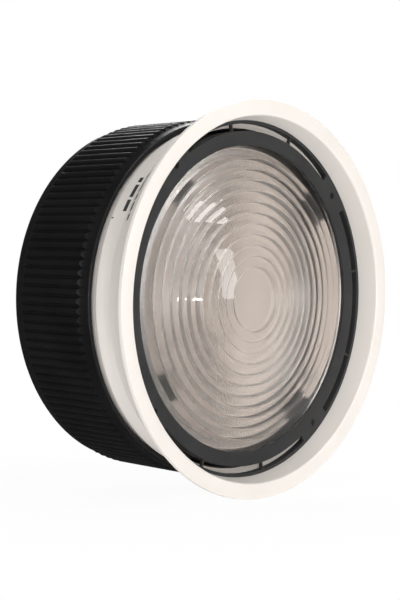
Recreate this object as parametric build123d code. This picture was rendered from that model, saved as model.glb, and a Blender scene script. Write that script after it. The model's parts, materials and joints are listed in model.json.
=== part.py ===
from build123d import *
import math
import os

# Zoom Fresnel lens attachment for a bayonet-mount studio light.
# Turning the ribbed ring drives a three-pin cam, which slides the white front barrel and its lens
# straight out of the ring. Millimetres. The optical axis is Y, the front faces -Y and +Z is up.
# The origin is on the axis, in the rear face of the bayonet flange, where the lamp's mount seats.
# Angles are measured about the axis from +X towards +Z, as seen by someone facing the front.

os.makedirs("parts", exist_ok=True)

# ---- driving dimensions --------------------------------------------------------------------------
LIP_Y = -118.0            # plane of the lip's largest circle, with the barrel drawn in
LIP_R = 120.0
LENS_R = 97.5             # glass radius
LENS_VIEW_R = 92.7        # radius that the retaining ring leaves open
TRAVEL = 32.0             # barrel travel from flood to spot
TURN = 100.0              # ring turn for the whole travel, degrees
THROAT_R = 49.0           # light throat of the bayonet
RIB_COUNT = 122
SLIDE_GAP = 0.15          # running gap beside each cam bush
TOUCH_GAP = 0.05          # running gap of washers, bands and the felt seal

# ---- bayonet and rear cover ----------------------------------------------------------------------
TUBE_R = 51.8
TUBE_LENGTH = 14.0
FLANGE_R = 73.0
FLANGE_T = 4.0
LUG_R = 58.7
LUG_Y = 6.0
LUG_T = 3.5
LUG_SPAN = 42.0
BAYONET_SCREW_R = 66.0
COVER_R = 101.0
COVER_REAR_Y = -16.0
COVER_FRONT_Y = -20.0
BOSS_R = 76.0
COVER_SCREW_R = 96.0
VENT_COUNT = 24

# ---- guide tube and its collar -------------------------------------------------------------------
GUIDE_IN_R = 93.0
GUIDE_OUT_R = 96.6
GUIDE_FRONT_Y = -90.0
GUIDE_FLANGE_R = 100.5
GUIDE_FLANGE_Y = -24.0
COLLAR_R = 100.3
COLLAR_T = 3.0

# ---- cam sleeve and grip ring --------------------------------------------------------------------
CAM_IN_R = 97.2
CAM_OUT_R = 100.4
CAM_FRONT_Y = -86.0
CAM_FLANGE_R = 103.8
WEB_FRONT_Y = -30.0
WEB_REAR_Y = -25.0
CAM_FLANGE_Y = WEB_FRONT_Y - 3.5
RING_FRONT_Y = -79.2
RING_REAR_Y = -12.8
BORE_R = 104.6
FELT_R = 105.8
FELT_FRONT_Y = -77.0
FELT_REAR_Y = -74.5
BAND_R = 107.2
RIB_FRONT_Y = -73.0
RIB_REAR_Y = -20.0
RIB_TOP_FRONT_R = 108.8
RIB_TOP_REAR_R = 106.8
RIB_H = 1.5
RIB_W = 4.7

# ---- cam followers -------------------------------------------------------------------------------
FOLLOWER_COUNT = 3
FOLLOWER_ANGLE = 90.0
FOLLOWER_Y = -42.0        # follower axis with the barrel drawn in
BUSH_R = 4.0
PIN_R = 2.2
PIN_HEAD_R = 3.9
PIN_HEAD_T = 1.3

# ---- front barrel --------------------------------------------------------------------------------
BARREL_REAR_Y = -35.5
BARREL_IN_R = 101.4
BARREL_BACK_R = 103.0     # the part that runs inside the ring
BARREL_R = 105.0          # the part that always shows
BARREL_STEP_Y = -82.9
INDEX_ANGLE = 153.9
INDEX_LENGTH = 2.2        # witness mark at the barrel's rear edge
FLARE_Y = -94.0
LIP_BAND = 2.4            # width of the lip's round edge, where an accessory's clips hold
LIP_FRONT_Y = LIP_Y - 0.6
LIP_BACK_R = 118.5
LIP_BACK_Y = LIP_Y + 3.3
MOUTH_R = 110.5
MOUTH_Y = LIP_Y - 1.0
SEAT_R = 107.9            # counterbore that holds the retaining ring
LEDGE_Y = -101.5
CLAMP_BAY_R = 103.2

# ---- retaining ring and lens ---------------------------------------------------------------------
RETAINER_FRONT_Y = -106.5
RETAINER_BACK_Y = -104.1
RETAINER_R = 107.8
SLOT_IN_R = 101.4
SLOT_OUT_R = 105.8
CLAMP_ANGLE = 40.0        # first of the four screw pads
PAD_SPAN = 14.7
BRIDGE_SPAN = 0.6
SCREW_R = 101.5
LENS_RIM_Y = -103.6
LENS_BACK_Y = -96.5
LENS_TOP_Y = LIP_Y + 4.0
LENS_BULGE = 4.6          # how far the zone peaks fall back by the outermost zone
CENTRE_ZONE_R = 19.4
ZONE_PITCH = 6.5
ZONE_COUNT = 11
FOCAL_LENGTH = 117.0
GLASS_INDEX = 1.52
CLAMP_FRONT_Y = -98.0
CLAMP_TAB_Y = -96.0
CLAMP_BACK_Y = -92.8
CLAMP_REACH_R = 84.0
CLAMP_SPAN = 13.0         # width of each clamp tab, degrees


# ---- helpers -------------------------------------------------------------------------------------
def turned(*corners):
    """Solid of revolution about the optical axis; corners are (radius, y)."""
    return revolve(make_face(Polyline(*corners, close=True)), Axis.Y)


def tube(r_in, r_out, y_low, y_high):
    """Plain ring between two radii and two stations on the axis."""
    return turned((r_in, y_low), (r_out, y_low), (r_out, y_high), (r_in, y_high))


def about(shape, angle):
    """The shape turned about the optical axis, from +X towards +Z."""
    return Rot(0, -angle, 0) * shape


def around(shape, count, first=0.0):
    """Equally spaced copies of a shape drawn on the +X side."""
    return [about(shape, first + k * 360.0 / count) for k in range(count)]


def axial_rod(radius, r_place, y_low, y_high):
    """Cylinder parallel to the axis, on the +X side."""
    place = Plane(origin=(r_place, y_low, 0), z_dir=(0, 1, 0))
    return place * Cylinder(radius, y_high - y_low, align=(Align.CENTER, Align.CENTER, Align.MIN))


def axial_cone(r_low, r_high, r_place, y_low, y_high):
    """Cone parallel to the axis, on the +X side, for countersunk heads."""
    place = Plane(origin=(r_place, y_low, 0), z_dir=(0, 1, 0))
    return place * Cone(r_low, r_high, y_high - y_low, align=(Align.CENTER, Align.CENTER, Align.MIN))


def radial_rod(radius, r_low, r_high, y_place):
    """Cylinder pointing away from the axis, on the +X side."""
    place = Plane(origin=(r_low, y_place, 0), z_dir=(1, 0, 0))
    return place * Cylinder(radius, r_high - r_low, align=(Align.CENTER, Align.CENTER, Align.MIN))


def radial_cone(r_inner_end, r_outer_end, r_low, r_high, y_place):
    """Cone pointing away from the axis, on the +X side."""
    place = Plane(origin=(r_low, y_place, 0), z_dir=(1, 0, 0))
    height = r_high - r_low
    return place * Cone(r_inner_end, r_outer_end, height, align=(Align.CENTER, Align.CENTER, Align.MIN))


def block(r_low, r_high, y_low, y_high, width):
    """Box on the +X side, centred on the X axis."""
    size = (r_high - r_low, y_high - y_low, width)
    centre = ((r_low + r_high) / 2, (y_low + y_high) / 2, 0)
    return Pos(*centre) * Box(*size)


def sector(r_in, r_out, y_low, y_high, span):
    """Arc of a ring, centred on the +X side and as wide as span in degrees."""
    outline = make_face(Polyline((r_in, y_low), (r_out, y_low), (r_out, y_high), (r_in, y_high), close=True))
    return about(revolve(outline, Axis.Y, -span), -span / 2)


def hex_socket(radius, depth, r_place, y_face, towards):
    """Hexagonal key recess cut from y_face; towards is +1 or -1 along Y."""
    place = Plane(origin=(r_place, y_face, 0), z_dir=(0, towards, 0))
    return place * extrude(RegularPolygon(radius, 6), depth)


def save(name, *solids):
    """Write one node: a single solid, or a group of separate ones."""
    flat = [solid for shape in solids for solid in shape.solids()]
    node = flat[0] if len(flat) == 1 else Compound(children=flat)
    node.label = name
    export_step(node, f"parts/{name}.step")


# ---- fixed body: bayonet, rear cover, guide tube --------------------------------------------------
def bayonet_mount():
    body = turned(
        (THROAT_R, -FLANGE_T), (FLANGE_R, -FLANGE_T), (FLANGE_R, -0.6), (FLANGE_R - 0.6, 0),
        (TUBE_R, 0), (TUBE_R, TUBE_LENGTH - 0.8), (TUBE_R - 0.8, TUBE_LENGTH), (THROAT_R, TUBE_LENGTH))
    lug = sector(TUBE_R - 0.5, LUG_R, LUG_Y, LUG_Y + LUG_T, LUG_SPAN)
    body += around(lug, 3, 90)
    lock_notch = axial_rod(2.6, LUG_R, LUG_Y - 1, LUG_Y + LUG_T + 1)
    body -= about(lock_notch, 90)
    body -= around(axial_rod(2.0, BAYONET_SCREW_R, -FLANGE_T - 1, 1), 4, 45)
    return body - around(axial_cone(1.8, 4.0, BAYONET_SCREW_R, -2.2, 0), 4, 45)


def bayonet_screws():
    head = axial_cone(2.0, 3.9, BAYONET_SCREW_R, -2.0, -0.1)
    shank = axial_rod(2.0, BAYONET_SCREW_R, -13.0, -2.0)
    screw = head + shank - hex_socket(1.45, 1.4, BAYONET_SCREW_R, -0.1, -1)
    return around(screw, 4, 45)


def rear_cover():
    body = turned(
        (53.0, -4.0), (BOSS_R - 1, -4.0), (BOSS_R, -5.0), (BOSS_R, COVER_REAR_Y),
        (COVER_R - 0.5, COVER_REAR_Y), (COVER_R, COVER_REAR_Y - 0.5), (COVER_R, COVER_FRONT_Y),
        (72.5, COVER_FRONT_Y), (72.5, -7.5), (53.0, -7.5))
    body += around(axial_rod(5.0, BAYONET_SCREW_R, -14.0, -7.0), 4, 45)
    body -= tube(52.0, 58.0, -5.0, -3.0)
    body -= around(axial_rod(2.0, BAYONET_SCREW_R, -13.0, -3.0), 4, 45)
    body -= around(axial_rod(1.6, COVER_SCREW_R, COVER_FRONT_Y - 1, COVER_REAR_Y + 1), 6)
    vent = block(81.0, 90.0, COVER_FRONT_Y - 1, COVER_REAR_Y + 1, 3.0)
    vent += axial_rod(1.5, 81.0, COVER_FRONT_Y - 1, COVER_REAR_Y + 1)
    vent += axial_rod(1.5, 90.0, COVER_FRONT_Y - 1, COVER_REAR_Y + 1)
    return body - around(vent, VENT_COUNT, 7.5)


def cover_screws():
    head = axial_rod(2.8, COVER_SCREW_R, COVER_REAR_Y, COVER_REAR_Y + 2.0)
    shank = axial_rod(1.5, COVER_SCREW_R, GUIDE_FLANGE_Y, COVER_REAR_Y)
    screw = head + shank - hex_socket(1.25, 1.2, COVER_SCREW_R, COVER_REAR_Y + 2.0, -1)
    return around(screw, 6)


def straight_slot():
    """Straight guide slot: the follower bush's whole path along the axis."""
    half = BUSH_R + SLIDE_GAP
    low = GUIDE_IN_R - 3
    high = GUIDE_OUT_R + 3
    cut = block(low, high, FOLLOWER_Y - TRAVEL, FOLLOWER_Y, 2 * half)
    cut += radial_rod(half, low, high, FOLLOWER_Y)
    return cut + radial_rod(half, low, high, FOLLOWER_Y - TRAVEL)


def guide_tube():
    body = turned(
        (GUIDE_IN_R, GUIDE_FRONT_Y), (GUIDE_OUT_R, GUIDE_FRONT_Y), (GUIDE_OUT_R, GUIDE_FLANGE_Y),
        (GUIDE_FLANGE_R, GUIDE_FLANGE_Y), (GUIDE_FLANGE_R, COVER_FRONT_Y), (91.5, COVER_FRONT_Y),
        (91.5, GUIDE_FLANGE_Y), (GUIDE_IN_R, GUIDE_FLANGE_Y))
    body -= around(straight_slot(), FOLLOWER_COUNT, FOLLOWER_ANGLE)
    body -= around(axial_rod(1.5, COVER_SCREW_R, GUIDE_FLANGE_Y - 0.5, COVER_FRONT_Y + 1), 6)
    collar_hole = radial_rod(1.25, 94.0, GUIDE_OUT_R + 1, GUIDE_FRONT_Y + COLLAR_T / 2)
    return body - around(collar_hole, 3, 30)


def tube_collar():
    body = tube(GUIDE_OUT_R, COLLAR_R, GUIDE_FRONT_Y, GUIDE_FRONT_Y + COLLAR_T)
    hole = radial_rod(1.25, GUIDE_OUT_R - 1, COLLAR_R + 1, GUIDE_FRONT_Y + COLLAR_T / 2)
    return body - around(hole, 3, 30)


def collar_screws():
    screw = radial_rod(1.25, 94.2, COLLAR_R - 0.3, GUIDE_FRONT_Y + COLLAR_T / 2)
    socket = Plane(origin=(COLLAR_R - 0.3, GUIDE_FRONT_Y + COLLAR_T / 2, 0), z_dir=(-1, 0, 0))
    screw -= socket * extrude(RegularPolygon(0.7, 6), 1.5)
    return around(screw, 3, 30)


def light_cone():
    """Thin shade that leads the light from the throat to the guide tube's wall."""
    return turned(
        (50.6, -5.0), (50.6, -9.0), (88.6, -58.0), (92.6, -58.0), (92.6, -59.0), (88.0, -59.0),
        (49.6, -9.3), (49.6, -4.0), (57.8, -4.0), (57.8, -5.0))


def rear_glide_washer():
    return tube(GUIDE_OUT_R + TOUCH_GAP, 99.6, WEB_REAR_Y + TOUCH_GAP, GUIDE_FLANGE_Y)


def front_glide_washer():
    collar_back = GUIDE_FRONT_Y + COLLAR_T
    return tube(GUIDE_OUT_R + TOUCH_GAP, CAM_OUT_R - 0.2, collar_back, CAM_FRONT_Y - TOUCH_GAP)


# ---- turning body: grip ring and cam sleeve ------------------------------------------------------
def rib_top_radius(y):
    """Radius of the rib crests, which narrow towards the rear."""
    run = (y - RIB_FRONT_Y) / (RIB_REAR_Y - RIB_FRONT_Y)
    return RIB_TOP_FRONT_R + (RIB_TOP_REAR_R - RIB_TOP_FRONT_R) * run


def rib():
    """One convex rib with a slanted front face and a sloped rear end."""
    section_r = (RIB_W * RIB_W / 4 + RIB_H * RIB_H) / (2 * RIB_H)
    start = (rib_top_radius(RIB_FRONT_Y) - section_r, RIB_FRONT_Y, 0)
    end = (rib_top_radius(RIB_REAR_Y) - section_r, RIB_REAR_Y, 0)
    axis = Vector(*end) - Vector(*start)
    place = Plane(origin=start, z_dir=axis)
    rod = place * Cylinder(section_r, axis.length, align=(Align.CENTER, Align.CENTER, Align.MIN))
    foot_front = rib_top_radius(RIB_FRONT_Y) - RIB_H - 0.6
    foot_rear = rib_top_radius(RIB_REAR_Y) - RIB_H - 0.6
    side = make_face(Polyline(
        (foot_front, RIB_FRONT_Y - 0.9), (foot_front + 3, RIB_FRONT_Y + 4.2),
        (foot_rear + 3, RIB_REAR_Y - 6.0), (foot_rear, RIB_REAR_Y + 0.1), close=True))
    return rod & extrude(side, RIB_W, both=True)


def grip_ring():
    groove_front = rib_top_radius(RIB_FRONT_Y) - RIB_H
    groove_rear = rib_top_radius(RIB_REAR_Y) - RIB_H
    body = turned(
        (BORE_R, RING_FRONT_Y), (BAND_R - 0.6, RING_FRONT_Y), (BAND_R, RING_FRONT_Y + 0.6),
        (groove_front, RIB_FRONT_Y), (groove_rear, RIB_REAR_Y), (104.7, -15.0), (103.9, -13.4),
        (103.4, RING_REAR_Y), (102.6, RING_REAR_Y), (102.6, WEB_REAR_Y), (CAM_IN_R + 0.1, WEB_REAR_Y),
        (CAM_IN_R + 0.1, WEB_FRONT_Y), (BORE_R, WEB_FRONT_Y))
    body -= tube(BORE_R - 0.5, FELT_R, FELT_FRONT_Y, FELT_REAR_Y)
    body -= around(axial_rod(1.25, 101.2, WEB_FRONT_Y - 1, -26.5), 6, 30)
    return body + around(rib(), RIB_COUNT)


def felt_seal():
    return tube(BARREL_BACK_R + TOUCH_GAP, FELT_R, FELT_FRONT_Y, FELT_REAR_Y)


def helical_slot():
    """Cam slot: the follower bush's path in the sleeve as the ring turns and the barrel moves."""
    half = BUSH_R + SLIDE_GAP
    low = CAM_IN_R - 3
    high = CAM_OUT_R + 3
    mean_r = (CAM_IN_R + CAM_OUT_R) / 2
    pitch = TRAVEL * 360.0 / TURN
    path = Helix(pitch, TRAVEL, mean_r, center=(0, FOLLOWER_Y, 0), direction=(0, -1, 0))
    start = path @ 0
    slope = path % 0
    outward = Vector(start.X, 0, start.Z).normalized()
    section = Plane(origin=start, x_dir=outward, z_dir=slope) * Rectangle(high - low, 2 * half)
    channel = sweep(section, path=path, is_frenet=True)
    channel = about(channel, -math.degrees(math.atan2(start.Z, start.X)))
    channel += radial_rod(half, low, high, FOLLOWER_Y)
    return channel + about(radial_rod(half, low, high, FOLLOWER_Y - TRAVEL), TURN)


def cam_sleeve():
    body = turned(
        (CAM_IN_R, CAM_FRONT_Y), (CAM_OUT_R, CAM_FRONT_Y), (CAM_OUT_R, CAM_FLANGE_Y),
        (CAM_FLANGE_R, CAM_FLANGE_Y), (CAM_FLANGE_R, WEB_FRONT_Y), (CAM_IN_R, WEB_FRONT_Y))
    body -= around(helical_slot(), FOLLOWER_COUNT, FOLLOWER_ANGLE)
    body -= around(axial_rod(1.25, 101.2, CAM_FLANGE_Y - 1, WEB_FRONT_Y + 1), 6, 30)
    return body - around(axial_cone(2.4, 1.2, 101.2, CAM_FLANGE_Y, CAM_FLANGE_Y + 1.2), 6, 30)


def cam_screws():
    head = axial_cone(2.35, 1.25, 101.2, CAM_FLANGE_Y + 0.05, CAM_FLANGE_Y + 1.15)
    shank = axial_rod(1.25, 101.2, CAM_FLANGE_Y + 1.15, -26.5)
    screw = head + shank - hex_socket(0.85, 0.9, 101.2, CAM_FLANGE_Y + 0.05, 1)
    return around(screw, 6, 30)


def glide_bands():
    inner = GUIDE_OUT_R + TOUCH_GAP
    return tube(inner, CAM_IN_R, -85.6, -83.6), tube(inner, CAM_IN_R, -37.5, -34.0)


# ---- sliding body: barrel, lens and followers ----------------------------------------------------
def front_bell():
    outside = [
        (BARREL_BACK_R, BARREL_REAR_Y), (BARREL_BACK_R, BARREL_STEP_Y), (BARREL_R - 0.2, BARREL_STEP_Y),
        (BARREL_R, BARREL_STEP_Y - 0.2), (BARREL_R, FLARE_Y), (LIP_BACK_R, LIP_BACK_Y),
        (LIP_R, LIP_FRONT_Y + LIP_BAND), (LIP_R, LIP_FRONT_Y), (LIP_R - 0.3, LIP_FRONT_Y - 0.2)]
    inside = [
        (MOUTH_R + 0.4, MOUTH_Y), (MOUTH_R, MOUTH_Y + 0.4), (SEAT_R, RETAINER_FRONT_Y), (SEAT_R, LEDGE_Y),
        (SLOT_OUT_R + 0.1, LEDGE_Y), (CLAMP_BAY_R, -97.0), (CLAMP_BAY_R, -91.0), (BARREL_IN_R, -88.0),
        (BARREL_IN_R, BARREL_REAR_Y)]
    body = turned(*outside, *inside)
    boss = block(98.4, SLOT_OUT_R - 0.6, RETAINER_BACK_Y, CLAMP_FRONT_Y, 14.0)
    body += around(boss, 4, CLAMP_ANGLE)
    body -= around(axial_rod(1.3, SCREW_R, RETAINER_BACK_Y - 1, CLAMP_FRONT_Y + 1), 4, CLAMP_ANGLE)
    body -= around(radial_rod(PIN_R, BARREL_IN_R - 2, 106, FOLLOWER_Y), FOLLOWER_COUNT, FOLLOWER_ANGLE)
    sink = radial_cone(PIN_R, PIN_HEAD_R, BARREL_BACK_R - PIN_HEAD_T, BARREL_BACK_R, FOLLOWER_Y)
    sink += radial_rod(PIN_HEAD_R, BARREL_BACK_R, BARREL_BACK_R + 1, FOLLOWER_Y)
    body -= around(sink, FOLLOWER_COUNT, FOLLOWER_ANGLE)
    return body - index_pocket()


def index_pocket():
    """Shallow pocket for the witness mark beside the ring."""
    pocket = block(BARREL_R - 0.3, BARREL_R + 1.0, BARREL_STEP_Y - INDEX_LENGTH, BARREL_STEP_Y + 1.0, 0.8)
    return about(pocket, INDEX_ANGLE)


def index_mark():
    return index_pocket() & tube(BARREL_R - 0.3, BARREL_R, BARREL_STEP_Y - INDEX_LENGTH, BARREL_STEP_Y - 0.3)


def follower_pins():
    head_base_r = BARREL_BACK_R - PIN_HEAD_T
    head = radial_cone(PIN_R, PIN_HEAD_R - 0.15, head_base_r, BARREL_BACK_R - 0.1, FOLLOWER_Y)
    shank = radial_rod(PIN_R, GUIDE_IN_R + 0.4, head_base_r, FOLLOWER_Y)
    pin = head + shank
    socket = Plane(origin=(BARREL_BACK_R - 0.1, FOLLOWER_Y, 0), z_dir=(-1, 0, 0))
    pin -= socket * extrude(RegularPolygon(1.45, 6), 1.6)
    return around(pin, FOLLOWER_COUNT, FOLLOWER_ANGLE)


def follower_bushes():
    bush = radial_rod(BUSH_R, GUIDE_IN_R + 0.3, BARREL_IN_R - 0.2, FOLLOWER_Y)
    bush -= radial_rod(PIN_R, GUIDE_IN_R - 1, BARREL_IN_R + 1, FOLLOWER_Y)
    return around(bush, FOLLOWER_COUNT, FOLLOWER_ANGLE)


def zone_peak_y(radius):
    """Station of a zone's crest: the crests lie on a shallow dome."""
    return LENS_TOP_Y + LENS_BULGE * (radius / (CENTRE_ZONE_R + (ZONE_COUNT - 1) * ZONE_PITCH)) ** 2


def facet_slope(radius):
    """Slope that sends a parallel ray at this radius to the focus of a flat-backed lens."""
    bend = math.atan(radius / FOCAL_LENGTH)
    inner_bend = math.asin(math.sin(bend) / GLASS_INDEX)
    return math.sin(bend) / (GLASS_INDEX * math.cos(inner_bend) - 1)


def facet(r_from, r_to, y_from):
    """Refracting facet as an arc whose slope grows with the radius; returns it with its last point."""
    width = r_to - r_from
    middle = (r_from + width / 2, y_from + width / 2 * facet_slope(r_from + width / 4))
    end = (r_to, middle[1] + width / 2 * facet_slope(r_to - width / 4))
    return ThreePointArc((r_from, y_from), middle, end), end


def fresnel_lens():
    outline, last = facet(0, CENTRE_ZONE_R, LENS_TOP_Y)
    for zone in range(ZONE_COUNT):
        inner = CENTRE_ZONE_R + zone * ZONE_PITCH
        start = (inner + 0.15, zone_peak_y(inner))
        outline += Line(last, start)
        arc, last = facet(start[0], inner + ZONE_PITCH, start[1])
        outline += arc
    outline += Polyline(
        last, (LENS_R - 0.6, LENS_RIM_Y), (LENS_R, LENS_RIM_Y + 0.6), (LENS_R, LENS_BACK_Y - 0.6),
        (LENS_R - 0.6, LENS_BACK_Y), (0, LENS_BACK_Y), (0, LENS_TOP_Y))
    return revolve(make_face(outline), Axis.Y)


def lens_gasket():
    return tube(LENS_VIEW_R + 0.6, LENS_R - 0.6, RETAINER_BACK_Y, LENS_RIM_Y)


def lens_pads():
    pad = sector(CLAMP_REACH_R + 1, LENS_R - 1, LENS_BACK_Y, CLAMP_TAB_Y, CLAMP_SPAN - 2)
    return around(pad, 4, CLAMP_ANGLE)


def retainer_slots():
    """Air slots of the retaining ring: four pads and eight thin bridges are left standing."""
    gap = 30.0 - PAD_SPAN / 2 - BRIDGE_SPAN / 2
    beside_pad = PAD_SPAN / 2 + gap / 2
    middle = 30.0 - BRIDGE_SPAN
    cuts = []
    for k in range(4):
        pad_angle = CLAMP_ANGLE + 90.0 * k
        for offset, span in ((beside_pad, gap), (45.0, middle), (90.0 - beside_pad, gap)):
            cut = sector(SLOT_IN_R, SLOT_OUT_R, RETAINER_FRONT_Y - 1, LEDGE_Y + 3, span)
            cuts.append(about(cut, pad_angle + offset))
    return cuts


def lens_retainer():
    body = turned(
        (LENS_VIEW_R, RETAINER_BACK_Y), (LENS_VIEW_R, RETAINER_FRONT_Y + 0.6),
        (LENS_VIEW_R + 0.6, RETAINER_FRONT_Y), (RETAINER_R - 0.4, RETAINER_FRONT_Y),
        (RETAINER_R, RETAINER_FRONT_Y + 0.4), (RETAINER_R, LEDGE_Y), (SLOT_OUT_R, LEDGE_Y),
        (SLOT_OUT_R, RETAINER_BACK_Y), (SLOT_IN_R, RETAINER_BACK_Y), (SLOT_IN_R, -100.0),
        (98.3, -100.0), (98.3, RETAINER_BACK_Y))
    body -= retainer_slots()
    body -= around(block(97.5, 103.0, RETAINER_BACK_Y, LEDGE_Y + 3, 15.0), 4, CLAMP_ANGLE)
    body -= around(axial_rod(1.1, SCREW_R, RETAINER_FRONT_Y - 1, RETAINER_BACK_Y + 1), 4, CLAMP_ANGLE)
    sink = axial_cone(1.9, 1.1, SCREW_R, RETAINER_FRONT_Y, RETAINER_FRONT_Y + 1.0)
    return body - around(sink, 4, CLAMP_ANGLE)


def retainer_screws():
    top = RETAINER_FRONT_Y + 0.1
    head = axial_cone(1.8, 1.1, SCREW_R, top, top + 0.9)
    shank = axial_rod(1.1, SCREW_R, top + 0.9, CLAMP_BACK_Y - 0.5)
    screw = head + shank - hex_socket(0.7, 0.8, SCREW_R, top, 1)
    return around(screw, 4, CLAMP_ANGLE)


def lens_clamps():
    """Four brackets behind the glass; each wide tab presses the rim through a silicone pad."""
    body = block(98.4, 102.8, CLAMP_FRONT_Y, CLAMP_BACK_Y, 11.0)
    body += sector(CLAMP_REACH_R, 100.0, CLAMP_TAB_Y, CLAMP_BACK_Y, CLAMP_SPAN)
    body -= axial_rod(1.1, SCREW_R, CLAMP_FRONT_Y - 1, CLAMP_BACK_Y + 1)
    return around(body, 4, CLAMP_ANGLE)


save("bayonet_mount", bayonet_mount())
save("bayonet_screws", *bayonet_screws())
save("rear_cover", rear_cover())
save("cover_screws", *cover_screws())
save("guide_tube", guide_tube())
save("tube_collar", tube_collar())
save("collar_screws", *collar_screws())
save("light_cone", light_cone())
save("rear_glide_washer", rear_glide_washer())
save("front_glide_washer", front_glide_washer())
save("grip_ring", grip_ring())
save("felt_seal", felt_seal())
save("cam_sleeve", cam_sleeve())
save("cam_screws", *cam_screws())
save("glide_bands", *glide_bands())
save("front_bell", front_bell())
save("index_mark", index_mark())
save("follower_pins", *follower_pins())
save("follower_bushes", *follower_bushes())
save("fresnel_lens", fresnel_lens())
save("lens_gasket", lens_gasket())
save("lens_pads", *lens_pads())
save("lens_retainer", lens_retainer())
save("retainer_screws", *retainer_screws())
save("lens_clamps", *lens_clamps())
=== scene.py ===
import json
import math

import bmesh
import bpy
from mathutils import Matrix, Vector


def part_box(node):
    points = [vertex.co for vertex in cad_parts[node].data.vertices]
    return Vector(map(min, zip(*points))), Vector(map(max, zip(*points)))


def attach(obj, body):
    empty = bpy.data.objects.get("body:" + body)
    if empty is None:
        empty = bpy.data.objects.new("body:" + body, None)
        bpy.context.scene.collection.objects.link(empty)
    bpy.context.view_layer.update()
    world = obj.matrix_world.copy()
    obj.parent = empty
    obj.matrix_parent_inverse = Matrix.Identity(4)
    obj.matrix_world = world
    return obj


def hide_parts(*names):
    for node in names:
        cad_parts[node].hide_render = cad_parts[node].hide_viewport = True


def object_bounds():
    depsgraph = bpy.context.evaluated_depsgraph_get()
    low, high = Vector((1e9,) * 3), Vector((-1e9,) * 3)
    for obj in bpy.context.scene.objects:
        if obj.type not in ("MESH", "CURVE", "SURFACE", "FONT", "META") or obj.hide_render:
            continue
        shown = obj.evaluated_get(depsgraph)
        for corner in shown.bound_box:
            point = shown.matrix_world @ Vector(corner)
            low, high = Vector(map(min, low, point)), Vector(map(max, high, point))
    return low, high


# Looks of a zoom Fresnel lens attachment. The optical axis is Y, the front faces -Y, +Z is up, and
# lengths are metres. Angles about the axis run from +X towards +Z, as seen from the front.

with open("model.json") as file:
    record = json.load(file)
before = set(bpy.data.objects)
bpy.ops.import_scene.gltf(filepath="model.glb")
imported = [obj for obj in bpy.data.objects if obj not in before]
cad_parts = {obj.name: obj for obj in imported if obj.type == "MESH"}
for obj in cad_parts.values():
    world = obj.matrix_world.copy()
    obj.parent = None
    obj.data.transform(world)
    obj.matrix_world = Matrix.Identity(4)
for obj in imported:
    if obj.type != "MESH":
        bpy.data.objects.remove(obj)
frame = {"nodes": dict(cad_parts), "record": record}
CAD_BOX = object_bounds()
MM = 0.001
SHARP_ANGLE = 32.0  # edges that turn by more degrees than this are shaded hard

# ---- sizes, from the frame -------------------------------------------------------------------------
BELL_LOW, BELL_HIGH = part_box("front_bell")
RING_LOW, RING_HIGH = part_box("grip_ring")
LENS_LOW, LENS_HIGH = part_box("fresnel_lens")
RETAINER_LOW, RETAINER_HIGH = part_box("lens_retainer")
GASKET_LOW, GASKET_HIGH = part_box("lens_gasket")
FLOOR_Z = CAD_BOX[0].z

LIP_R = BELL_HIGH.x
MOUTH_Y = BELL_LOW.y
LIP_Y = MOUTH_Y + 1.0 * MM
BARREL_REAR_Y = BELL_HIGH.y
BARREL_R = LIP_R - 15.0 * MM
BARREL_BACK_R = BARREL_R - 2.0 * MM
BARREL_IN_R = BARREL_BACK_R - 1.6 * MM
BARREL_STEP_Y = LIP_Y + 35.1 * MM
FLARE_Y = LIP_Y + 24.0 * MM
LIP_EDGE_R = LIP_R - 1.5 * MM
LIP_EDGE_Y = LIP_Y + 3.3 * MM
LEDGE_Y = LIP_Y + 16.5 * MM
RETAINER_R = RETAINER_HIGH.x
RETAINER_FRONT_Y = RETAINER_LOW.y
RETAINER_BACK_Y = GASKET_LOW.y
SEAT_R = RETAINER_R + 0.1 * MM
SLOT_IN_R = RETAINER_R - 6.4 * MM
SLOT_OUT_R = RETAINER_R - 2.0 * MM
VIEW_R = RETAINER_R - 15.1 * MM
SCREW_R = RETAINER_R - 6.3 * MM
SCREW_HOLE_R = 2.0 * MM
CLAMP_ANGLE = 40.0
PIN_ANGLES = (90.0, 210.0, 330.0)
PIN_R = 3.75 * MM
PIN_HOLE_WIDTH = 7.8 * MM

RING_FRONT_Y = RING_LOW.y
RING_REAR_Y = RING_HIGH.y
RIB_FRONT_Y = RING_FRONT_Y + 6.2 * MM
RIB_REAR_Y = RING_REAR_Y - 7.2 * MM
BAND_R = BARREL_R + 2.2 * MM
GROOVE_FRONT_R = BARREL_R + 2.3 * MM
GROOVE_REAR_R = BARREL_R + 0.3 * MM
RIB_COUNT = 122
RIB_H = 1.5 * MM
RIB_W = 4.7 * MM
RIB_PITCH = 2 * math.pi * GROOVE_FRONT_R / RIB_COUNT
RIB_FRONT_RUN = 1.7  # length of a rib's front end facet for each unit of its height
RIB_REAR_RUN = 2.0
RING_BORE_R = BARREL_R - 0.4 * MM

LENS_R = LENS_HIGH.x
LENS_TOP_Y = LENS_LOW.y
LENS_BACK_Y = LENS_HIGH.y
LENS_RIM_Y = GASKET_HIGH.y
LENS_BULGE = 4.6 * MM
CENTRE_ZONE_R = 19.4 * MM
ZONE_PITCH = 6.5 * MM
ZONE_COUNT = 11
RISER_WIDTH = 0.25 * MM
CREST_FILLET = 0.45 * MM
VALLEY_FILLET = 0.3 * MM
RIM_FILLET = 0.4 * MM
RIM_BEVEL = 0.6 * MM
CAP_STEPS = 16
FACET_STEPS = 6
LENS_SEGMENTS = 480
FOCAL_LENGTH = 0.117
GLASS_INDEX = 1.52


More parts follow.
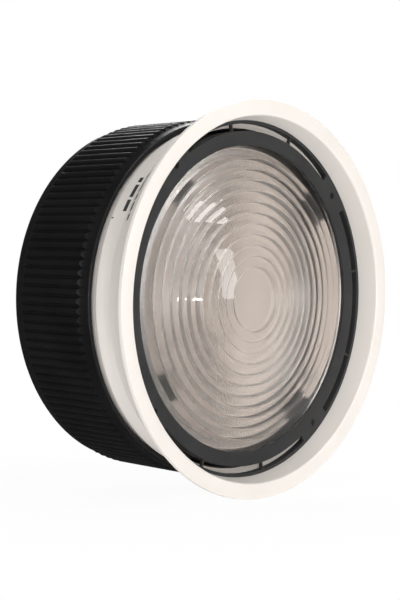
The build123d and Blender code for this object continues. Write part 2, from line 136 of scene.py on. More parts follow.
# ---- mesh helpers ----------------------------------------------------------------------------------
def arc_corner(before, corner, after, radius, steps):
    """Points that round a 2-D corner with an arc of the given radius."""
    corner = Vector(corner)
    to_before = Vector(before) - corner
    to_after = Vector(after) - corner
    reach_limit = 0.48 * min(to_before.length, to_after.length)
    to_before.normalize()
    to_after.normalize()
    half = to_before.angle(to_after) / 2
    if math.tan(half) < 1e-4 or half > math.radians(89.5):
        return [tuple(corner)]
    reach = min(radius / math.tan(half), reach_limit)
    radius = reach * math.tan(half)
    centre = corner + (to_before + to_after).normalized() * (radius / math.sin(half))
    first = corner + to_before * reach - centre
    last = corner + to_after * reach - centre
    sweep = first.angle_signed(last)
    points = []
    for k in range(steps + 1):
        turned = Matrix.Rotation(-sweep * k / steps, 2) @ first
        points.append(tuple(centre + turned))
    return points


def rounded(profile, steps=4):
    """Closed (radius, y) outline from (radius, y, fillet) corners."""
    out = []
    count = len(profile)
    for k, (r, y, fillet) in enumerate(profile):
        if fillet <= 0:
            out.append((r, y))
        else:
            before = profile[k - 1][:2]
            after = profile[(k + 1) % count][:2]
            out.extend(arc_corner(before, (r, y), after, fillet, steps))
    return out


def new_object(name, mesh):
    obj = bpy.data.objects.new(name, mesh)
    bpy.context.scene.collection.objects.link(obj)
    return obj


def finished_mesh(name, verts, faces, sharp_angle=SHARP_ANGLE):
    """Object from vertices and faces, with outward normals and smooth shading between hard edges."""
    mesh = bpy.data.meshes.new(name)
    mesh.from_pydata(verts, [], faces)
    bm = bmesh.new()
    bm.from_mesh(mesh)
    bmesh.ops.remove_doubles(bm, verts=bm.verts, dist=1e-7)
    bmesh.ops.recalc_face_normals(bm, faces=bm.faces)
    bm.to_mesh(mesh)
    bm.free()
    mesh.shade_smooth()
    mesh.set_sharp_from_angle(angle=math.radians(sharp_angle))
    return new_object(name, mesh)


def on_axis(radius, angle, y):
    return (radius * math.cos(angle), y, radius * math.sin(angle))


def band_faces(row, next_row, columns):
    """Four-sided faces between two rows of vertices that run round the axis."""
    for c in range(columns):
        d = (c + 1) % columns
        yield row * columns + c, row * columns + d, next_row * columns + d, next_row * columns + c


def grid_ring(name, rows, angles, sharp_angle=SHARP_ANGLE):
    """Closed ring with a column at each angle; rows are functions of the column that give (radius, y)."""
    columns = len(angles)
    verts = []
    for row in rows:
        for c, angle in enumerate(angles):
            radius, y = row(c)
            verts.append(on_axis(radius, angle, y))
    faces = [face for k in range(len(rows)) for face in band_faces(k, (k + 1) % len(rows), columns)]
    return finished_mesh(name, verts, faces, sharp_angle)


def fixed_rows(outline):
    """Rows of a ring whose radius and y are the same all the way round."""
    return [lambda c, point=point: point for point in outline]


def lathe(name, outline, segments=288):
    """Solid of revolution from a closed (radius, y) outline that stays off the axis."""
    angles = [2 * math.pi * c / segments for c in range(segments)]
    return grid_ring(name, fixed_rows(outline), angles)


def join(name, *objs):
    """One object from several."""
    bm = bmesh.new()
    for obj in objs:
        bm.from_mesh(obj.data)
        bpy.data.objects.remove(obj)
    mesh = bpy.data.meshes.new(name)
    bm.to_mesh(mesh)
    bm.free()
    return new_object(name, mesh)


def cutter(r_low, r_high, y_low, y_high, width, angle, is_round=False):
    """Box or rod, for cutting only, that points away from the axis at an angle in degrees."""
    bm = bmesh.new()
    turn = Matrix.Rotation(-math.radians(angle), 4, "Y")
    shift = Matrix.Translation(((r_low + r_high) / 2, (y_low + y_high) / 2, 0))
    if is_round:
        lay_down = Matrix.Rotation(math.pi / 2, 4, "Y")
        bmesh.ops.create_cone(bm, cap_ends=True, segments=48, radius1=width / 2, radius2=width / 2,
                              depth=r_high - r_low, matrix=turn @ shift @ lay_down)
    else:
        stretch = Matrix.Diagonal((r_high - r_low, y_high - y_low, width, 1))
        bmesh.ops.create_cube(bm, size=1.0, matrix=turn @ shift @ stretch)
    mesh = bpy.data.meshes.new("cutter")
    bm.to_mesh(mesh)
    bm.free()
    return new_object("cutter", mesh)


def carve(obj, *cutters):
    """Cuts the cutters out of a piece."""
    for item in cutters:
        step = obj.modifiers.new("carve", "BOOLEAN")
        step.operation = "DIFFERENCE"
        step.solver = "EXACT"
        step.object = item
    graph = bpy.context.evaluated_depsgraph_get()
    mesh = bpy.data.meshes.new_from_object(obj.evaluated_get(graph))
    obj.modifiers.clear()
    obj.data = mesh
    mesh.set_sharp_from_angle(angle=math.radians(SHARP_ANGLE))
    for item in cutters:
        bpy.data.objects.remove(item)


# ---- pieces ----------------------------------------------------------------------------------------
def make_bell():
    """White barrel with its flare, rolled lip and mouth, every edge rounded."""
    cavity_r = BARREL_IN_R + 1.8 * MM
    outline = rounded([
        (BARREL_BACK_R, BARREL_REAR_Y, 0.5 * MM),
        (BARREL_BACK_R, BARREL_STEP_Y, 0.3 * MM),
        (BARREL_R, BARREL_STEP_Y, 0.4 * MM),
        (BARREL_R, FLARE_Y, 1.2 * MM),
        (LIP_EDGE_R, LIP_EDGE_Y, 0.4 * MM),
        (LIP_R, LIP_Y + 1.8 * MM, 0.6 * MM),
        (LIP_R, LIP_Y - 0.75 * MM, 0.35 * MM),
        (LIP_R - 9.0 * MM, MOUTH_Y, 0.4 * MM),
        (LIP_R - 9.6 * MM, MOUTH_Y + 0.6 * MM, 0.4 * MM),
        (SEAT_R, RETAINER_FRONT_Y, 0.5 * MM),
        (SEAT_R, LEDGE_Y, 0.2 * MM),
        (SLOT_OUT_R + 0.1 * MM, LEDGE_Y, 0.2 * MM),
        (cavity_r, LEDGE_Y + 4.5 * MM, 0.5 * MM),
        (cavity_r, LEDGE_Y + 10.5 * MM, 0.5 * MM),
        (BARREL_IN_R, LEDGE_Y + 13.5 * MM, 0.5 * MM),
        (BARREL_IN_R, BARREL_REAR_Y, 0.4 * MM)])
    bell = lathe("bell_body", outline, 360)
    mark_low, mark_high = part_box("index_mark")
    mark_angle = math.degrees(math.atan2(mark_low.z + mark_high.z, mark_low.x + mark_high.x))
    pocket = cutter(BARREL_R - 0.3 * MM, BARREL_R + 1.0 * MM, mark_low.y, BARREL_STEP_Y + 1.0 * MM,
                    0.8 * MM, mark_angle)
    pin_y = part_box("follower_pins")[0].y + PIN_R
    pin_holes = [cutter(BARREL_IN_R - 0.5 * MM, BARREL_BACK_R + 0.5 * MM, pin_y, pin_y,
                        PIN_HOLE_WIDTH, angle, is_round=True) for angle in PIN_ANGLES]
    carve(bell, pocket, *pin_holes)
    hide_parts("front_bell")
    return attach(bell, "front_barrel")


def rib_height(share):
    """Height of the ribbed surface above the groove at a share of the rib pitch."""
    offset = abs(share - 0.5) * RIB_PITCH
    section_r = (RIB_W * RIB_W / 4 + RIB_H * RIB_H) / (2 * RIB_H)
    if offset >= RIB_W / 2:
        return 0.0
    return math.sqrt(section_r * section_r - offset * offset) - (section_r - RIB_H)


def rib_columns():
    """Shares of the rib pitch where the columns of one rib stand."""
    edge = RIB_W / 2 / RIB_PITCH
    inner = [-1.0, -0.93, -0.8, -0.6, -0.35, -0.12, 0.12, 0.35, 0.6, 0.8, 0.93, 1.0]
    return [0.5 + edge * t for t in inner] + [1.0]


def make_grip_ring():
    """Black turning ring; each rib has a slanted end facet in front and a sloped end behind."""
    shares = rib_columns()
    heights = [rib_height(share) for share in shares]
    angles = [2 * math.pi * (rib + share) / RIB_COUNT for rib in range(RIB_COUNT) for share in shares]

    def groove_r(y):
        run = (y - RIB_FRONT_Y) / (RIB_REAR_Y - RIB_FRONT_Y)
        return GROOVE_FRONT_R + (GROOVE_REAR_R - GROOVE_FRONT_R) * run

    def ridge(c, run):
        """Point of the ribbed surface between the rib's two end creases."""
        h = heights[c % len(shares)]
        y_front = RIB_FRONT_Y + RIB_FRONT_RUN * h
        y_rear = RIB_REAR_Y - RIB_REAR_RUN * h
        y = y_front + (y_rear - y_front) * run
        return groove_r(y) + h, y

    felt_low, felt_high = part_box("felt_seal")
    sleeve_seat_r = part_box("cam_sleeve")[1].x - 6.5 * MM
    cover_seat_r = BARREL_R - 2.4 * MM
    cover_seat_y = RING_REAR_Y - 12.2 * MM
    sleeve_seat_y = RING_REAR_Y - 17.2 * MM
    front = rounded([
        (RING_BORE_R, felt_low.y, 0),
        (RING_BORE_R, RING_FRONT_Y, 0.25 * MM),
        (BAND_R, RING_FRONT_Y, 0.75 * MM),
        (GROOVE_FRONT_R, RIB_FRONT_Y - 0.4 * MM, 0)], 5)[:-1]
    rear = rounded([
        (GROOVE_REAR_R, RIB_REAR_Y + 0.5 * MM, 0),
        (GROOVE_REAR_R - 0.6 * MM, RING_REAR_Y - 2.2 * MM, 1.5 * MM),
        (BARREL_R - 1.6 * MM, RING_REAR_Y, 0.6 * MM),
        (cover_seat_r, RING_REAR_Y, 0.3 * MM),
        (cover_seat_r, cover_seat_y, 0.3 * MM),
        (sleeve_seat_r, cover_seat_y, 0.3 * MM),
        (sleeve_seat_r, sleeve_seat_y, 0.2 * MM),
        (RING_BORE_R, sleeve_seat_y, 0.2 * MM),
        (RING_BORE_R, felt_high.y, 0.1 * MM),
        (felt_high.x, felt_high.y, 0.1 * MM),
        (felt_high.x, felt_low.y, 0)], 4)

    runs = (0.0, 0.004, 0.02, 0.25, 0.5, 0.75, 0.98, 0.996, 1.0)
    rows = fixed_rows(front + [(GROOVE_FRONT_R, RIB_FRONT_Y)])
    rows += [lambda c, run=run: ridge(c, run) for run in runs]
    rows += fixed_rows([(GROOVE_REAR_R, RIB_REAR_Y)] + rear)
    ring = grid_ring("ribbed_grip", rows, angles, 30.0)
    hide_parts("grip_ring")
    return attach(ring, "zoom_ring")


def zone_peak_y(radius):
    """Station of a zone's crest: the crests lie on a shallow dome."""
    outermost = CENTRE_ZONE_R + (ZONE_COUNT - 1) * ZONE_PITCH
    return LENS_TOP_Y + LENS_BULGE * (radius / outermost) ** 2


def facet_slope(radius):
    """Slope that sends a parallel ray at this radius to the focus of a flat-backed lens."""
    bend = math.atan(radius / FOCAL_LENGTH)
    inner_bend = math.asin(math.sin(bend) / GLASS_INDEX)
    return math.sin(bend) / (GLASS_INDEX * math.cos(inner_bend) - 1)


def facet_points(r_from, r_to, y_from, steps):
    """Points down one refracting facet: its slope grows steadily with the radius."""
    points = [(r_from, y_from)]
    step = (r_to - r_from) / steps
    for k in range(steps):
        r, y = points[-1]
        points.append((r + step, y + step * facet_slope(r + step / 2)))
    return points


def make_lens():
    """Moulded glass: smooth centre, eleven refracting zones with softened crests, flat back."""
    cap = facet_points(0.0, CENTRE_ZONE_R, LENS_TOP_Y, CAP_STEPS)[1:]
    corners = [(r, y, 0) for r, y in cap]
    corners[-1] = (*cap[-1], VALLEY_FILLET)
    for zone in range(ZONE_COUNT):
        inner = CENTRE_ZONE_R + zone * ZONE_PITCH + RISER_WIDTH
        facet = facet_points(inner, inner + ZONE_PITCH - RISER_WIDTH, zone_peak_y(inner), FACET_STEPS)
        corners += [(*facet[0], CREST_FILLET)]
        corners += [(r, y, 0) for r, y in facet[1:-1]]
        corners += [(*facet[-1], VALLEY_FILLET)]
    corners += [
        (LENS_R - RIM_BEVEL, LENS_RIM_Y, RIM_FILLET), (LENS_R, LENS_RIM_Y + RIM_BEVEL, RIM_FILLET),
        (LENS_R, LENS_BACK_Y - RIM_BEVEL, RIM_FILLET), (LENS_R - RIM_BEVEL, LENS_BACK_Y, RIM_FILLET)]
    corners += [(LENS_R * share, LENS_BACK_Y, 0) for share in (0.8, 0.6, 0.4, 0.2, 0.08)]
    outline = rounded(corners, 3)

    angles = [2 * math.pi * c / LENS_SEGMENTS for c in range(LENS_SEGMENTS)]
    verts = [on_axis(r, angle, y) for r, y in outline for angle in angles]
    top = len(verts)
    verts += [(0.0, LENS_TOP_Y, 0.0), (0.0, LENS_BACK_Y, 0.0)]
    last = (len(outline) - 1) * LENS_SEGMENTS
    faces = [face for k in range(len(outline) - 1) for face in band_faces(k, k + 1, LENS_SEGMENTS)]
    for c in range(LENS_SEGMENTS):
        d = (c + 1) % LENS_SEGMENTS
        faces.append((top, d, c))
        faces.append((top + 1, last + c, last + d))
    lens = finished_mesh("stepped_glass", verts, faces, 35.0)
    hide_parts("fresnel_lens")
    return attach(lens, "front_barrel")


def curve_ring(curve, radius, place_r=0.0, place_angle=0.0, steps=240):
    """Adds a closed circle to a flat curve, on the axis or at a polar place in degrees."""
    spline = curve.splines.new("POLY")
    spline.points.add(steps - 1)
    x = place_r * math.cos(math.radians(place_angle))
    z = place_r * math.sin(math.radians(place_angle))
    for k in range(steps):
        a = 2 * math.pi * k / steps
        spline.points[k].co = (x + radius * math.cos(a), z + radius * math.sin(a), 0, 1)
    spline.use_cyclic_u = True


def curve_slot(curve, middle, span, r_in, r_out, corner):
    """Adds an arc-shaped slot with rounded ends; angles in degrees."""
    half = math.radians(span) / 2
    centre = math.radians(middle)
    points = []
    steps = max(4, int(span / 1.5))
    corner_steps = 4
    for r, direction in ((r_out, 1), (r_in, -1)):
        inset = corner / r
        for k in range(steps + 1):
            a = -half + inset + (2 * half - 2 * inset) * k / steps
            points.append((r, centre + direction * a))
        turn_r = r - direction * corner
        for k in range(1, corner_steps):
            t = math.pi / 2 * k / corner_steps
            a = direction * (half - inset) + direction * corner * math.sin(t) / r
            points.append((turn_r + direction * corner * math.cos(t), centre + a))
        turn_r = (r_in if direction > 0 else r_out) + direction * corner
        a_end = direction * half
        points.append((r - direction * corner, centre + a_end))
        points.append((turn_r, centre + a_end))
        for k in range(1, corner_steps):
            t = math.pi / 2 * k / corner_steps
            a = direction * (half - inset) + direction * corner * math.cos(t) / r
            points.append((turn_r - direction * corner * math.sin(t), centre + a))
    spline = curve.splines.new("POLY")
    spline.points.add(len(points) - 1)
    for point, (r, a) in zip(spline.points, points):
        point.co = (r * math.cos(a), r * math.sin(a), 0, 1)
    spline.use_cyclic_u = True


def curve_plate(name, draw, thickness, edge, y_middle):
    """Flat plate with rounded edges, facing -Y, from a function that draws its outline."""
    curve = bpy.data.curves.new(name, "CURVE")
    curve.dimensions = "2D"
    curve.fill_mode = "BOTH"
    curve.extrude = thickness / 2 - edge
    curve.bevel_depth = edge
    curve.bevel_resolution = 2
    curve.offset = -edge
    draw(curve)
    flat = bpy.data.objects.new(name, curve)
    bpy.context.scene.collection.objects.link(flat)
    bpy.context.view_layer.update()
    graph = bpy.context.evaluated_depsgraph_get()
    mesh = bpy.data.meshes.new_from_object(flat.evaluated_get(graph))
    bpy.data.objects.remove(flat)
    # the plate's x, y, z become x, z and -y, so angles keep running from +X towards +Z
    mesh.transform(Matrix(((1, 0, 0, 0), (0, 0, -1, y_middle), (0, 1, 0, 0), (0, 0, 0, 1))))
    return new_object(name, mesh)


def draw_retainer(curve):
    """Retaining ring: twelve air slots, four screw pads and eight thin bridges."""
    pad_span = 14.7
    bridge_span = 0.6
    gap = 30.0 - pad_span / 2 - bridge_span / 2
    beside_pad = pad_span / 2 + gap / 2
    curve_ring(curve, RETAINER_R)
    curve_ring(curve, VIEW_R)
    for k in range(4):
        pad = CLAMP_ANGLE + 90.0 * k
        curve_ring(curve, SCREW_HOLE_R, SCREW_R, pad, 24)
        for offset, span in ((beside_pad, gap), (45.0, 30.0 - bridge_span), (90.0 - beside_pad, gap)):
            curve_slot(curve, pad + offset, span, SLOT_IN_R, SLOT_OUT_R, 0.5 * MM)


def make_retainer():
    """Slotted ring that holds the glass, with a skirt outside and a locating collar inside."""
    thickness = RETAINER_BACK_Y - RETAINER_FRONT_Y
    middle = (RETAINER_BACK_Y + RETAINER_FRONT_Y) / 2
    plate = curve_plate("plate", draw_retainer, thickness, 0.3 * MM, middle)
    inset = 0.05 * MM

    def tube(part, r_in, r_out, y_back):
        return lathe(part, [(r_in, middle), (r_out, middle), (r_out, y_back), (r_in, y_back)])

    skirt = tube("skirt", SLOT_OUT_R + inset, RETAINER_R - inset, LEDGE_Y)
    collar = tube("collar", LENS_R + 0.8 * MM, SLOT_IN_R - inset, RETAINER_HIGH.y)
    ring = join("slotted_retainer", plate, skirt, collar)
    ring.data.shade_smooth()
    ring.data.set_sharp_from_angle(angle=math.radians(40))
    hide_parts("lens_retainer")
    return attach(ring, "front_barrel")


def barrel_outside_r(y):
    """Radius of the white body at a station on the straight barrel or its flare."""
    run = max(0.0, (y - FLARE_Y) / (LIP_EDGE_Y - FLARE_Y))
    return BARREL_R + (LIP_EDGE_R - BARREL_R) * run


def barrel_bar(verts, faces, angle_from, angle_to, y_from, y_to):
    """Adds a thin printed bar that follows the white body; angles in degrees."""
    steps = max(2, int(abs(angle_to - angle_from) / 0.25))
    base = len(verts)
    for k in range(steps + 1):
        a = math.radians(angle_from + (angle_to - angle_from) * k / steps)
        for y in (y_from, y_to):
            for proud in (-0.05 * MM, 0.03 * MM):
                verts.append(on_axis(barrel_outside_r(y) + proud, a, y))
    for k in range(steps):
        p = base + 4 * k
        q = p + 4
        faces += [(p, p + 1, q + 1, q), (p + 1, p + 3, q + 3, q + 1),
                  (p + 3, p + 2, q + 2, q + 3), (p + 2, p, q, q + 2)]
    faces += [(base, base + 2, base + 3, base + 1)]
    end = base + 4 * steps
    faces += [(end, end + 1, end + 3, end + 2)]


def make_marks():
    """Two rows of plain bars where the photographed object carries its maker's marking."""
    verts, faces = [], []
    bold = ((139.5, 141.5), (142.4, 146.4), (147.3, 149.3), (150.2, 153.2), (154.1, 156.1))
    light = ((138.2, 140.2), (141.2, 146.2), (147.2, 151.5))
    for bars, y, height in ((bold, LIP_Y + 12.5 * MM, 4.2 * MM), (light, LIP_Y + 25.0 * MM, 2.8 * MM)):
        for first, last in bars:
            barrel_bar(verts, faces, first, last, y, y + height)
    marks = finished_mesh("barrel_marks", verts, faces)
    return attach(marks, "front_barrel")


# ---- materials -------------------------------------------------------------------------------------
class Nodes:
    """Small helper that wires the nodes of one material or world."""

    def __init__(self, owner, output_kind="ShaderNodeOutputMaterial"):
        owner.use_nodes = True
        self.tree = owner.node_tree
        self.tree.nodes.clear()
        self.output = self.tree.nodes.new(output_kind)
        texture_space = self.add("ShaderNodeTexCoord")
        self.place = texture_space.outputs["Object"]
        self.direction = texture_space.outputs["Generated"]

    def add(self, kind, settings=None, **inputs):
        node = self.tree.nodes.new(kind)
        for key, value in (settings or {}).items():
            setattr(node, key, value)
        for key, value in inputs.items():
            self.feed(node.inputs[key.replace("_", " ")], value)
        return node

    def feed(self, socket, value):
        if isinstance(value, bpy.types.NodeSocket):
            self.tree.links.new(value, socket)
        elif isinstance(value, bpy.types.Node):
            self.tree.links.new(value.outputs[0], socket)
        else:
            socket.default_value = value

    def noise(self, scale, detail=3.0, roughness=0.55):
        return self.add("ShaderNodeTexNoise", Vector=self.place, Scale=scale, Detail=detail,
                        Roughness=roughness).outputs["Fac"]

    def wire(self, kind, sockets, values, settings=None):
        """Adds a node and feeds its input sockets, which are given by number."""
        node = self.add(kind, settings)
        for socket, value in zip(sockets, values):
            self.feed(node.inputs[socket], value)
        return node

    def span(self, value, low, high, to_low, to_high):
        """The value mapped from one range to another, kept inside it."""
        return self.wire("ShaderNodeMapRange", range(5), (value, low, high, to_low, to_high)).outputs[0]

    def maths(self, operation, a, b=0.0):
        return self.wire("ShaderNodeMath", range(2), (a, b), {"operation": operation}).outputs[0]

    def mix(self, share, a, b):
        return self.wire("ShaderNodeMix", (0, 6, 7), (share, a, b), {"data_type": "RGBA"}).outputs[2]

    def bump(self, height, distance, strength=1.0, **normal):
        return self.add("ShaderNodeBump", Height=height, Distance=distance, Strength=strength,
                        **normal).outputs[0]

    def soft_edges(self, radius):
        return self.add("ShaderNodeBevel", {"samples": 4}, Radius=radius).outputs[0]

    def show(self, shader):
        self.feed(self.output.inputs["Surface"], shader)

    def surface(self, **inputs):
        self.show(self.add("ShaderNodeBsdfPrincipled", **inputs))

    def blend(self, share, first, second):
        """Shader that goes from the first to the second as share goes from 0 to 1."""
        return self.wire("ShaderNodeMixShader", range(3), (share, first, second))


def tone(r, g, b):
    return (r, g, b, 1.0)


def new_material(name):
    material = bpy.data.materials.new(name)
    return material, Nodes(material)


def paint(name, colour, worn, roughness):
    """Sprayed paint: fine orange peel, faint mottling, slightly duller patches."""
    material, n = new_material(name)
    mottle = n.span(n.noise(18.0), 0.35, 0.65, 0.0, 1.0)
    fine = n.noise(2200.0, 2.0)
    peel = n.noise(420.0, 2.0)
    height = n.maths("ADD", n.maths("MULTIPLY", peel, 0.7), n.maths("MULTIPLY", fine, 0.3))
    normal = n.bump(height, 0.05 * MM, 0.25, Normal=n.soft_edges(0.3 * MM))
    rough = n.span(n.noise(60.0), 0.3, 0.7, roughness - 0.04, roughness + 0.06)
    n.surface(Base_Color=n.mix(mottle, colour, worn), Roughness=rough, Normal=normal,
              Coat_Weight=0.08, Coat_Roughness=0.25)
    return material


def moulding(name, colour, dusty, roughness, grain_scale, grain_depth, shine=0.5):
    """Moulded plastic: fine grain with pits, faint dusty patches, uneven shine."""
    material, n = new_material(name)
    grain = n.noise(grain_scale, 4.0, 0.65)
    pits = n.add("ShaderNodeTexVoronoi", Vector=n.place, Scale=grain_scale * 0.8).outputs["Distance"]
    height = n.maths("ADD", n.maths("MULTIPLY", grain, 0.6), n.maths("MULTIPLY", pits, 0.4))
    normal = n.bump(height, grain_depth, 0.6, Normal=n.soft_edges(0.15 * MM))
    patches = n.span(n.noise(35.0), 0.35, 0.7, 0.0, 1.0)
    rough = n.span(n.noise(90.0), 0.3, 0.7, roughness - 0.06, roughness + 0.08)
    n.surface(Base_Color=n.mix(patches, colour, dusty), Roughness=rough, Normal=normal,
              Specular_IOR_Level=shine)
    return material


def turned_metal(name, colour, dark, roughness, metallic=1.0):
    """Machined or anodised metal: fine turning lines round the optical axis."""
    material, n = new_material(name)
    parts = n.add("ShaderNodeSeparateXYZ", Vector=n.place)
    radius = n.maths("SQRT", n.maths("ADD", n.maths("POWER", parts.outputs[0], 2.0),
                                     n.maths("POWER", parts.outputs[2], 2.0)))
    lines = n.add("ShaderNodeCombineXYZ", X=radius, Y=parts.outputs[1], Z=0.0)
    turning = n.add("ShaderNodeTexNoise", Vector=lines.outputs[0], Scale=2600.0,
                    Detail=2.0).outputs["Fac"]
    haze = n.span(n.noise(40.0), 0.3, 0.7, 0.0, 1.0)
    normal = n.bump(turning, 0.02 * MM, 0.5, Normal=n.soft_edges(0.25 * MM))
    rough = n.span(turning, 0.3, 0.7, roughness - 0.05, roughness + 0.08)
    n.surface(Base_Color=n.mix(haze, colour, dark), Metallic=metallic, Roughness=rough, Normal=normal)
    return material


def felt(name):
    """Black felt: short fibres with a soft sheen."""
    material, n = new_material(name)
    fibres = n.noise(5200.0, 5.0, 0.8)
    n.surface(Base_Color=n.mix(fibres, tone(0.008, 0.008, 0.009), tone(0.04, 0.04, 0.042)),
              Roughness=0.95, Sheen_Weight=0.5, Normal=n.bump(fibres, 0.25 * MM, 0.9))
    return material


def soft_plastic(name, colour, shade, roughness):
    """Natural nylon, slip plastic or silicone: slightly waxy and cloudy."""
    material, n = new_material(name)
    cloud = n.span(n.noise(150.0), 0.3, 0.7, 0.0, 1.0)
    normal = n.bump(n.noise(1500.0), 0.03 * MM, 0.4, Normal=n.soft_edges(0.15 * MM))
    n.surface(Base_Color=n.mix(cloud, colour, shade), Roughness=roughness, Normal=normal,
              Subsurface_Weight=0.15, Subsurface_Scale=0.5 * MM)
    return material


def glass(name, roughness, cell_scale, depth):
    """Pressed glass with a cellular relief; light that only lights things passes straight through it."""
    material, n = new_material(name)
    cells = n.add("ShaderNodeTexVoronoi", {"feature": "SMOOTH_F1"}, Vector=n.place, Scale=cell_scale)
    uneven = n.span(n.noise(45.0), 0.3, 0.7, 0.6, 1.0)
    height = n.maths("MULTIPLY", cells.outputs["Distance"], uneven)
    body = n.add("ShaderNodeBsdfGlass", Color=tone(0.985, 0.975, 0.965), Roughness=roughness,
                 IOR=GLASS_INDEX, Normal=n.bump(height, depth))
    clear = n.add("ShaderNodeBsdfTransparent", Color=tone(0.93, 0.93, 0.92))
    path = n.add("ShaderNodeLightPath")
    lighting = n.maths("MAXIMUM", path.outputs["Is Shadow Ray"], path.outputs["Is Diffuse Ray"])
    n.show(n.blend(lighting, body, clear))
    return material


def outward(face):
    """Positive on faces that look away from the axis, negative on faces that look at it."""
    return face.normal.x * face.center.x + face.normal.z * face.center.z


def give(obj, *materials):
    obj.data.materials.clear()
    for material in materials:
        obj.data.materials.append(material)


def floor_material():
    """Pale table: near white with a faint contact shadow to the camera, matt with a glow to the rest."""
    material, n = new_material("floor_pale")
    matt = n.add("ShaderNodeBsdfDiffuse", Color=tone(0.8, 0.8, 0.8))
    white = n.add("ShaderNodeEmission", Color=tone(1, 1, 1), Strength=1.0)
    path = n.add("ShaderNodeLightPath")
    glow = n.add("ShaderNodeEmission", Color=tone(1, 1, 1), Strength=FLOOR_GLOW)
    mirrored = n.add("ShaderNodeEmission", Color=tone(1, 1, 1), Strength=FLOOR_GLOW * MIRRORED_ROOM)
    distance = n.add("ShaderNodeVectorMath", {"operation": "LENGTH"}, Vector=n.place).outputs["Value"]
    shadow_share = n.span(distance, 0.1, 0.4, 0.05, 0.0)
    shown = n.blend(shadow_share, white, matt)
    lighting = n.wire("ShaderNodeAddShader", range(2), (matt, glow))
    unseen = n.blend(path.outputs["Is Glossy Ray"], lighting, mirrored)
    n.show(n.blend(path.outputs["Is Camera Ray"], unseen, shown))
    return material


# ---- build -----------------------------------------------------------------------------------------
bell = make_bell()
grip = make_grip_ring()
lens = make_lens()
retainer = make_retainer()
marks = make_marks()

white_paint = paint("white_paint", tone(0.81, 0.765, 0.72), tone(0.78, 0.735, 0.69), 0.38)
cream_paint = paint("cream_paint", tone(0.76, 0.69, 0.65), tone(0.72, 0.65, 0.61), 0.6)
black_moulding = moulding("black_moulding", tone(0.004, 0.004, 0.005), tone(0.007, 0.007, 0.008), 0.42,
                          2600.0, 0.04 * MM, 0.4)
charcoal = moulding("charcoal_moulding", tone(0.029, 0.029, 0.03), tone(0.038, 0.038, 0.038), 0.5,
                    2200.0, 0.04 * MM, 0.25)
bayonet_metal = turned_metal("bayonet_metal", tone(0.62, 0.62, 0.63), tone(0.55, 0.55, 0.56), 0.3)
dark_anodised = turned_metal("dark_anodised", tone(0.05, 0.05, 0.053), tone(0.035, 0.035, 0.037),
                             0.4, 0.8)
black_steel = turned_metal("black_steel", tone(0.03, 0.03, 0.032), tone(0.02, 0.02, 0.021), 0.35, 0.7)
steel = turned_metal("steel", tone(0.6, 0.6, 0.61), tone(0.5, 0.5, 0.51), 0.28)
slip_plastic = soft_plastic("slip_plastic", tone(0.82, 0.82, 0.8), tone(0.76, 0.76, 0.74), 0.4)
nylon = soft_plastic("nylon", tone(0.85, 0.84, 0.8), tone(0.8, 0.79, 0.74), 0.45)
silicone = soft_plastic("silicone", tone(0.02, 0.02, 0.02), tone(0.014, 0.014, 0.014), 0.55)
black_felt = felt("black_felt")
black_ink = moulding("black_ink", tone(0.035, 0.034, 0.034), tone(0.06, 0.058, 0.056), 0.55,
                     1800.0, 0.02 * MM)
lens_glass = glass("lens_glass", 0.02, 240.0, 0.006 * MM)
lens_back = glass("lens_glass_stippled", 0.24, 1400.0, 0.05 * MM)
lens_riser = glass("lens_glass_risers", 0.35, 900.0, 0.02 * MM)

# the record's material slots
FINISHES = {
    "bayonet_metal": bayonet_metal, "black_steel": black_steel, "black_moulding": black_moulding,
    "charcoal_moulding": charcoal, "cream_paint": cream_paint, "dark_anodised": dark_anodised,
    "slip_plastic": slip_plastic, "black_felt": black_felt, "white_paint": white_paint,
    "black_ink": black_ink, "steel": steel, "nylon": nylon, "silicone": silicone,
    "lens_glass": lens_glass}
for part in frame["record"]["subparts"]:
    give(frame["nodes"][part["node"]], FINISHES[part["material_slot"]])
give(bell, white_paint, black_moulding)
for face in bell.data.polygons:  # black moulding on the barrel's inside behind the lens darkens what shows through the slots
    if face.center.y > LEDGE_Y + 3.0 * MM and outward(face) < 0.0:
        face.material_index = 1
give(grip, black_moulding)
give(retainer, charcoal)
give(marks, black_ink)
give(lens, lens_glass, lens_back, lens_riser)
for face in lens.data.polygons:  # flat back, then the risers between the zones
    if face.normal.y > 0.9 and face.center.y > LENS_BACK_Y - 0.1 * MM:
        face.material_index = 1
    elif outward(face) < 0.0 and face.normal.y > -0.97:
        face.material_index = 2


# ---- studio ----------------------------------------------------------------------------------------
FLOOR_HALF = 4.0
FLOOR_GLOW = 0.5
MIRRORED_ROOM = 0.15      # share of the room's and the table's brightness that shows in reflections
ROOM_THROUGH_GLASS = 3.0  # brightness of the room seen through the glass, against what it lights
ROOM_LEVEL = 0.02
ROOM_LOBES = (            # direction, sharpness, brightness
    ((-0.7, -0.7, 0.0), 2.0, 1.1),
    ((0.6, -0.8, 0.1), 2.0, 0.6),
    ((-0.8, 0.6, 0.0), 2.0, 0.3),
    ((0.8, 0.5, 0.1), 2.0, 0.7),
    ((0.0, 0.9, 0.5), 2.0, 0.4))
# name, direction, distance, width, height, watts, whether it lights matt surfaces
LIGHTS = (
    ("key", (-0.513, -0.857, -0.045), 3.4, 0.24, 0.24, 84.0, True),
    ("tall_softbox", (0.09, -0.93, 0.37), 1.6, 0.6, 1.3, 14.0, False),
    ("side_strip", (-0.96, -0.28, 0.0), 1.5, 0.5, 0.9, 5.0, False),
    ("overhead", (-0.03, -0.38, 0.92), 1.5, 0.95, 0.3, 7.0, True),
    ("rear_softbox", (0.7, 0.55, 0.45), 1.6, 0.8, 0.8, 16.0, True))
CAMERA_PLACE = (-0.9224, -0.9217, 0.0300)
CAMERA_RIGHT = (0.67980, -0.73289, 0.02743)
CAMERA_UP = (0.0, 0.03740, 0.99930)
CAMERA_FOCAL_MM = 122.2
CAMERA_SENSOR_MM = 36.0


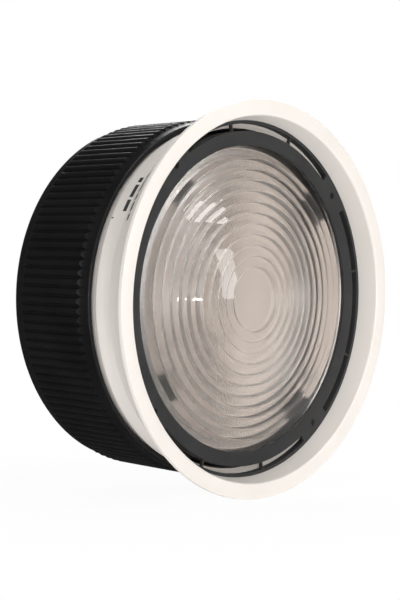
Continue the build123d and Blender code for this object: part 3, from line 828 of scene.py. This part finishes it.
def make_floor():
    bm = bmesh.new()
    corners = ((-1, -1), (1, -1), (1, 1), (-1, 1))
    bm.faces.new([bm.verts.new((x * FLOOR_HALF, y * FLOOR_HALF, FLOOR_Z)) for x, y in corners])
    mesh = bpy.data.meshes.new("floor")
    bm.to_mesh(mesh)
    bm.free()
    floor = new_object("floor", mesh)
    give(floor, floor_material())


def make_light(name, direction, distance, width, height, power, lights_matt):
    """Rectangular light facing the attachment; some show only as reflections, not on matt surfaces."""
    target = Vector((0, LIP_Y * 0.6, 0))
    back = Vector(direction).normalized()
    data = bpy.data.lights.new(name, "AREA")
    data.shape = "RECTANGLE"
    data.size = width
    data.size_y = height
    data.energy = power
    light = bpy.data.objects.new(name, data)
    bpy.context.scene.collection.objects.link(light)
    light.location = target + back * distance
    light.rotation_mode = "QUATERNION"
    light.rotation_quaternion = (-back).to_track_quat("-Z", "Y")
    light.visible_camera = False
    light.visible_diffuse = lights_matt
    return light


def make_world():
    """White to the camera; elsewhere a dim room, brighter towards a few directions, faint in mirrors."""
    world = bpy.data.worlds.new("studio")
    n = Nodes(world, "ShaderNodeOutputWorld")
    total = ROOM_LEVEL
    for direction, sharpness, level in ROOM_LOBES:
        facing = n.wire("ShaderNodeVectorMath", range(2), (n.direction, Vector(direction).normalized()),
                        {"operation": "DOT_PRODUCT"})
        lobe = n.maths("POWER", n.maths("MAXIMUM", facing.outputs["Value"], 0.0), sharpness)
        total = n.maths("ADD", n.maths("MULTIPLY", lobe, level), total)
    white = n.add("ShaderNodeBackground", Color=tone(1, 1, 1), Strength=1.0)
    path = n.add("ShaderNodeLightPath")
    mirrored = n.span(path.outputs["Is Glossy Ray"], 0.0, 1.0, 1.0, MIRRORED_ROOM)
    through_glass = n.span(path.outputs["Is Transmission Ray"], 0.0, 1.0, 1.0, ROOM_THROUGH_GLASS)
    level = n.maths("MULTIPLY", total, n.maths("MULTIPLY", mirrored, through_glass))
    room = n.add("ShaderNodeBackground", Color=tone(1.0, 0.99, 0.98), Strength=level)
    n.show(n.blend(path.outputs["Is Camera Ray"], room, white))
    bpy.context.scene.world = world


def make_camera():
    data = bpy.data.cameras.new("camera")
    data.lens = CAMERA_FOCAL_MM
    data.sensor_width = CAMERA_SENSOR_MM
    data.clip_start = 0.05
    data.clip_end = 50.0
    camera = bpy.data.objects.new("camera", data)
    bpy.context.scene.collection.objects.link(camera)
    right = Vector(CAMERA_RIGHT)
    up = Vector(CAMERA_UP)
    back = right.cross(up).normalized()
    rotation = Matrix((right, up, back)).transposed().to_4x4()
    camera.matrix_world = Matrix.Translation(CAMERA_PLACE) @ rotation
    bpy.context.scene.camera = camera


make_floor()
make_world()
make_camera()
for settings in LIGHTS:
    light = make_light(*settings)
light.visible_transmission = False  # the rear softbox doesn't shine through the glass into the camera
bpy.context.scene.view_settings.view_transform = "Standard"
